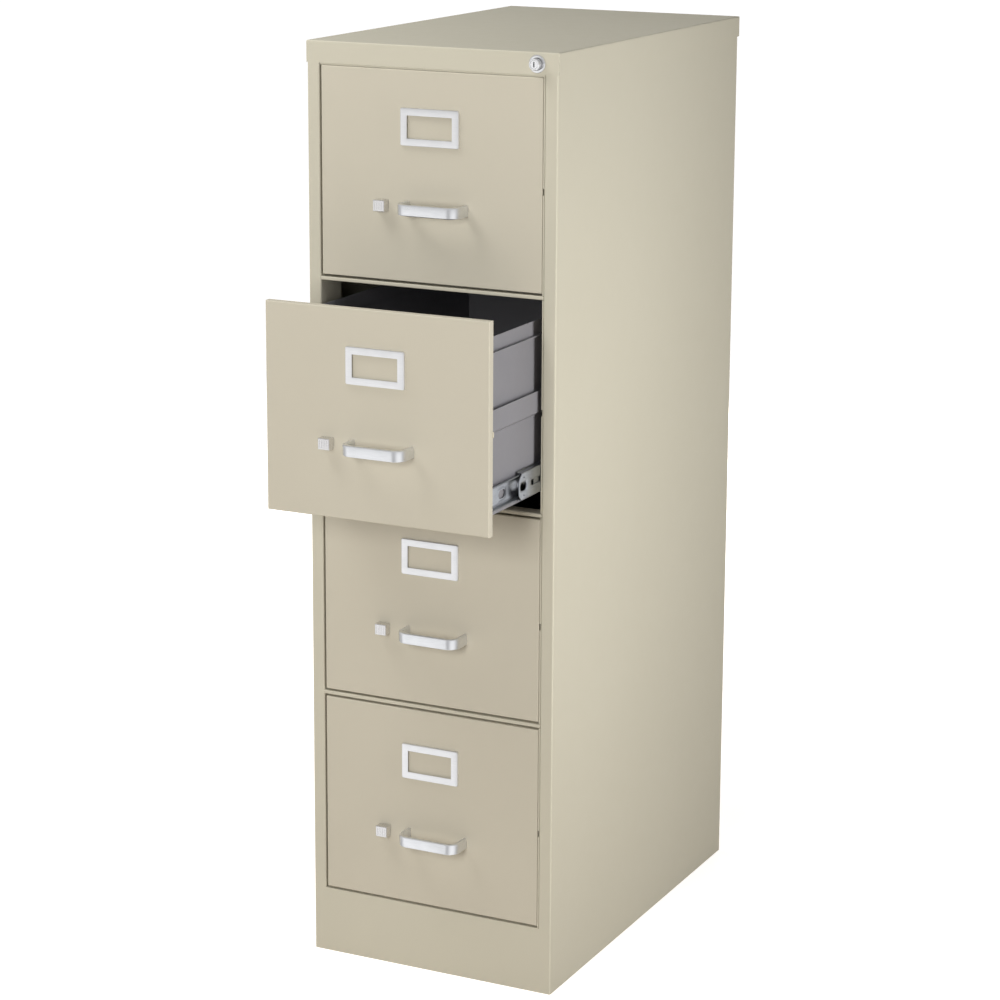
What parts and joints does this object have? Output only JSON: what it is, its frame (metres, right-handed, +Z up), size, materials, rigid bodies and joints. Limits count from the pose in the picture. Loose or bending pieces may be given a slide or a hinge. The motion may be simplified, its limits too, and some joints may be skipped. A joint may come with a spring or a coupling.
{
  "type": "filing cabinet",
  "caption": "Vertical steel filing cabinet with drawers on telescoping ball slides, bar handles, thumb latches, label holders and a push-in lock.",
  "frame": {"origin": "on the floor, at the centre of the case's footprint", "axes": "+Z up, the drawers open towards -Y, +X to the right as seen from the front"},
  "size_m": [0.381, 0.827, 1.3208],
  "materials": {
    "case_paint": "satin",
    "front_paint": "satin",
    "tray_paint": "satin",
    "slide_zinc": "satin",
    "handle_aluminium": "satin",
    "label_nickel": "satin",
    "latch_chrome": "satin",
    "lock_chrome": "polished"
  },
  "bodies": {
    "case": {"side_panel_left": "case_paint", "side_panel_right": "case_paint", "back_panel": "case_paint", "top_cap": "case_paint", "plinth": "case_paint", "base_frame": "case_paint", "front_rail_1": "case_paint", "front_rail_2": "case_paint", "front_rail_3": "case_paint", "front_upright_left": "case_paint", "front_upright_right": "case_paint", "rear_upright_left": "case_paint", "rear_upright_right": "case_paint", "lock_housing": "lock_chrome", "lock_nut": "slide_zinc", "drawer_1_slide_cabinet_members": "slide_zinc", "drawer_2_slide_cabinet_members": "slide_zinc", "drawer_3_slide_cabinet_members": "slide_zinc", "drawer_4_slide_cabinet_members": "slide_zinc"},
    "drawer_1": {"drawer_1_front": "front_paint", "drawer_1_tray": "tray_paint", "drawer_1_high_side_left": "tray_paint", "drawer_1_high_side_right": "tray_paint", "drawer_1_handle": "handle_aluminium", "drawer_1_label_holder": "label_nickel", "drawer_1_slide_drawer_members": "slide_zinc"},
    "slide_middle_1": {"drawer_1_slide_middle_members": "slide_zinc"},
    "thumb_latch_1": {"drawer_1_thumb_latch": "latch_chrome"},
    "drawer_2": {"drawer_2_front": "front_paint", "drawer_2_tray": "tray_paint", "drawer_2_high_side_left": "tray_paint", "drawer_2_high_side_right": "tray_paint", "drawer_2_handle": "handle_aluminium", "drawer_2_label_holder": "label_nickel", "drawer_2_slide_drawer_members": "slide_zinc"},
    "slide_middle_2": {"drawer_2_slide_middle_members": "slide_zinc"},
    "thumb_latch_2": {"drawer_2_thumb_latch": "latch_chrome"},
    "drawer_3": {"drawer_3_front": "front_paint", "drawer_3_tray": "tray_paint", "drawer_3_high_side_left": "tray_paint", "drawer_3_high_side_right": "tray_paint", "drawer_3_handle": "handle_aluminium", "drawer_3_label_holder": "label_nickel", "drawer_3_slide_drawer_members": "slide_zinc"},
    "slide_middle_3": {"drawer_3_slide_middle_members": "slide_zinc"},
    "thumb_latch_3": {"drawer_3_thumb_latch": "latch_chrome"},
    "drawer_4": {"drawer_4_front": "front_paint", "drawer_4_tray": "tray_paint", "drawer_4_high_side_left": "tray_paint", "drawer_4_high_side_right": "tray_paint", "drawer_4_handle": "handle_aluminium", "drawer_4_label_holder": "label_nickel", "drawer_4_slide_drawer_members": "slide_zinc"},
    "slide_middle_4": {"drawer_4_slide_middle_members": "slide_zinc"},
    "thumb_latch_4": {"drawer_4_thumb_latch": "latch_chrome"},
    "lock_plunger": {"lock_plunger": "lock_chrome"},
    "key_plug": {"key_plug": "lock_chrome"},
    "lock_bar": {"lock_bar": "case_paint"}
  },
  "joints": [
    {"name": "drawer_1_slide", "type": "slide", "parent": "case", "child": "drawer_1", "axis": [0, -1, 0], "range_m": [0, 0.54]},
    {"name": "slide_middle_1_slide", "type": "slide", "parent": "case", "child": "slide_middle_1", "axis": [0, -1, 0], "range_m": [0, 0.27]},
    {"name": "thumb_latch_1_slide", "type": "slide", "parent": "drawer_1", "child": "thumb_latch_1", "axis": [1, 0, 0], "range_m": [0, 0.006], "stiffness_N_per_m": 300, "springref_m": -0.004},
    {"name": "drawer_2_slide", "type": "slide", "parent": "case", "child": "drawer_2", "axis": [0, -1, 0], "range_m": [-0.156, 0.384]},
    {"name": "slide_middle_2_slide", "type": "slide", "parent": "case", "child": "slide_middle_2", "axis": [0, -1, 0], "range_m": [-0.078, 0.192]},
    {"name": "thumb_latch_2_slide", "type": "slide", "parent": "drawer_2", "child": "thumb_latch_2", "axis": [1, 0, 0], "range_m": [0, 0.006], "stiffness_N_per_m": 300, "springref_m": -0.004},
    {"name": "drawer_3_slide", "type": "slide", "parent": "case", "child": "drawer_3", "axis": [0, -1, 0], "range_m": [0, 0.54]},
    {"name": "slide_middle_3_slide", "type": "slide", "parent": "case", "child": "slide_middle_3", "axis": [0, -1, 0], "range_m": [0, 0.27]},
    {"name": "thumb_latch_3_slide", "type": "slide", "parent": "drawer_3", "child": "thumb_latch_3", "axis": [1, 0, 0], "range_m": [0, 0.006], "stiffness_N_per_m": 300, "springref_m": -0.004},
    {"name": "drawer_4_slide", "type": "slide", "parent": "case", "child": "drawer_4", "axis": [0, -1, 0], "range_m": [0, 0.54]},
    {"name": "slide_middle_4_slide", "type": "slide", "parent": "case", "child": "slide_middle_4", "axis": [0, -1, 0], "range_m": [0, 0.27]},
    {"name": "thumb_latch_4_slide", "type": "slide", "parent": "drawer_4", "child": "thumb_latch_4", "axis": [1, 0, 0], "range_m": [0, 0.006], "stiffness_N_per_m": 300, "springref_m": -0.004},
    {"name": "lock_plunger_slide", "type": "slide", "parent": "case", "child": "lock_plunger", "axis": [0, 1, 0], "range_m": [0, 0.008], "stiffness_N_per_m": 500, "springref_m": -0.012},
    {"name": "key_plug_turn", "type": "hinge", "parent": "lock_plunger", "child": "key_plug", "pos_m": [0.1592, -0.3175, 1.3052], "axis": [0, 1, 0], "range_deg": [0, 90]},
    {"name": "lock_bar_slide", "type": "slide", "parent": "case", "child": "lock_bar", "axis": [0, 0, 1], "range_m": [0, 0.01]}
  ],
  "couplings": [
    {"joint": "slide_middle_1_slide", "follows": "drawer_1_slide", "ratio": 0.5},
    {"joint": "slide_middle_2_slide", "follows": "drawer_2_slide", "ratio": 0.5},
    {"joint": "slide_middle_3_slide", "follows": "drawer_3_slide", "ratio": 0.5},
    {"joint": "slide_middle_4_slide", "follows": "drawer_4_slide", "ratio": 0.5},
    {"joint": "lock_bar_slide", "follows": "lock_plunger_slide", "ratio": 1.25}
  ]
}
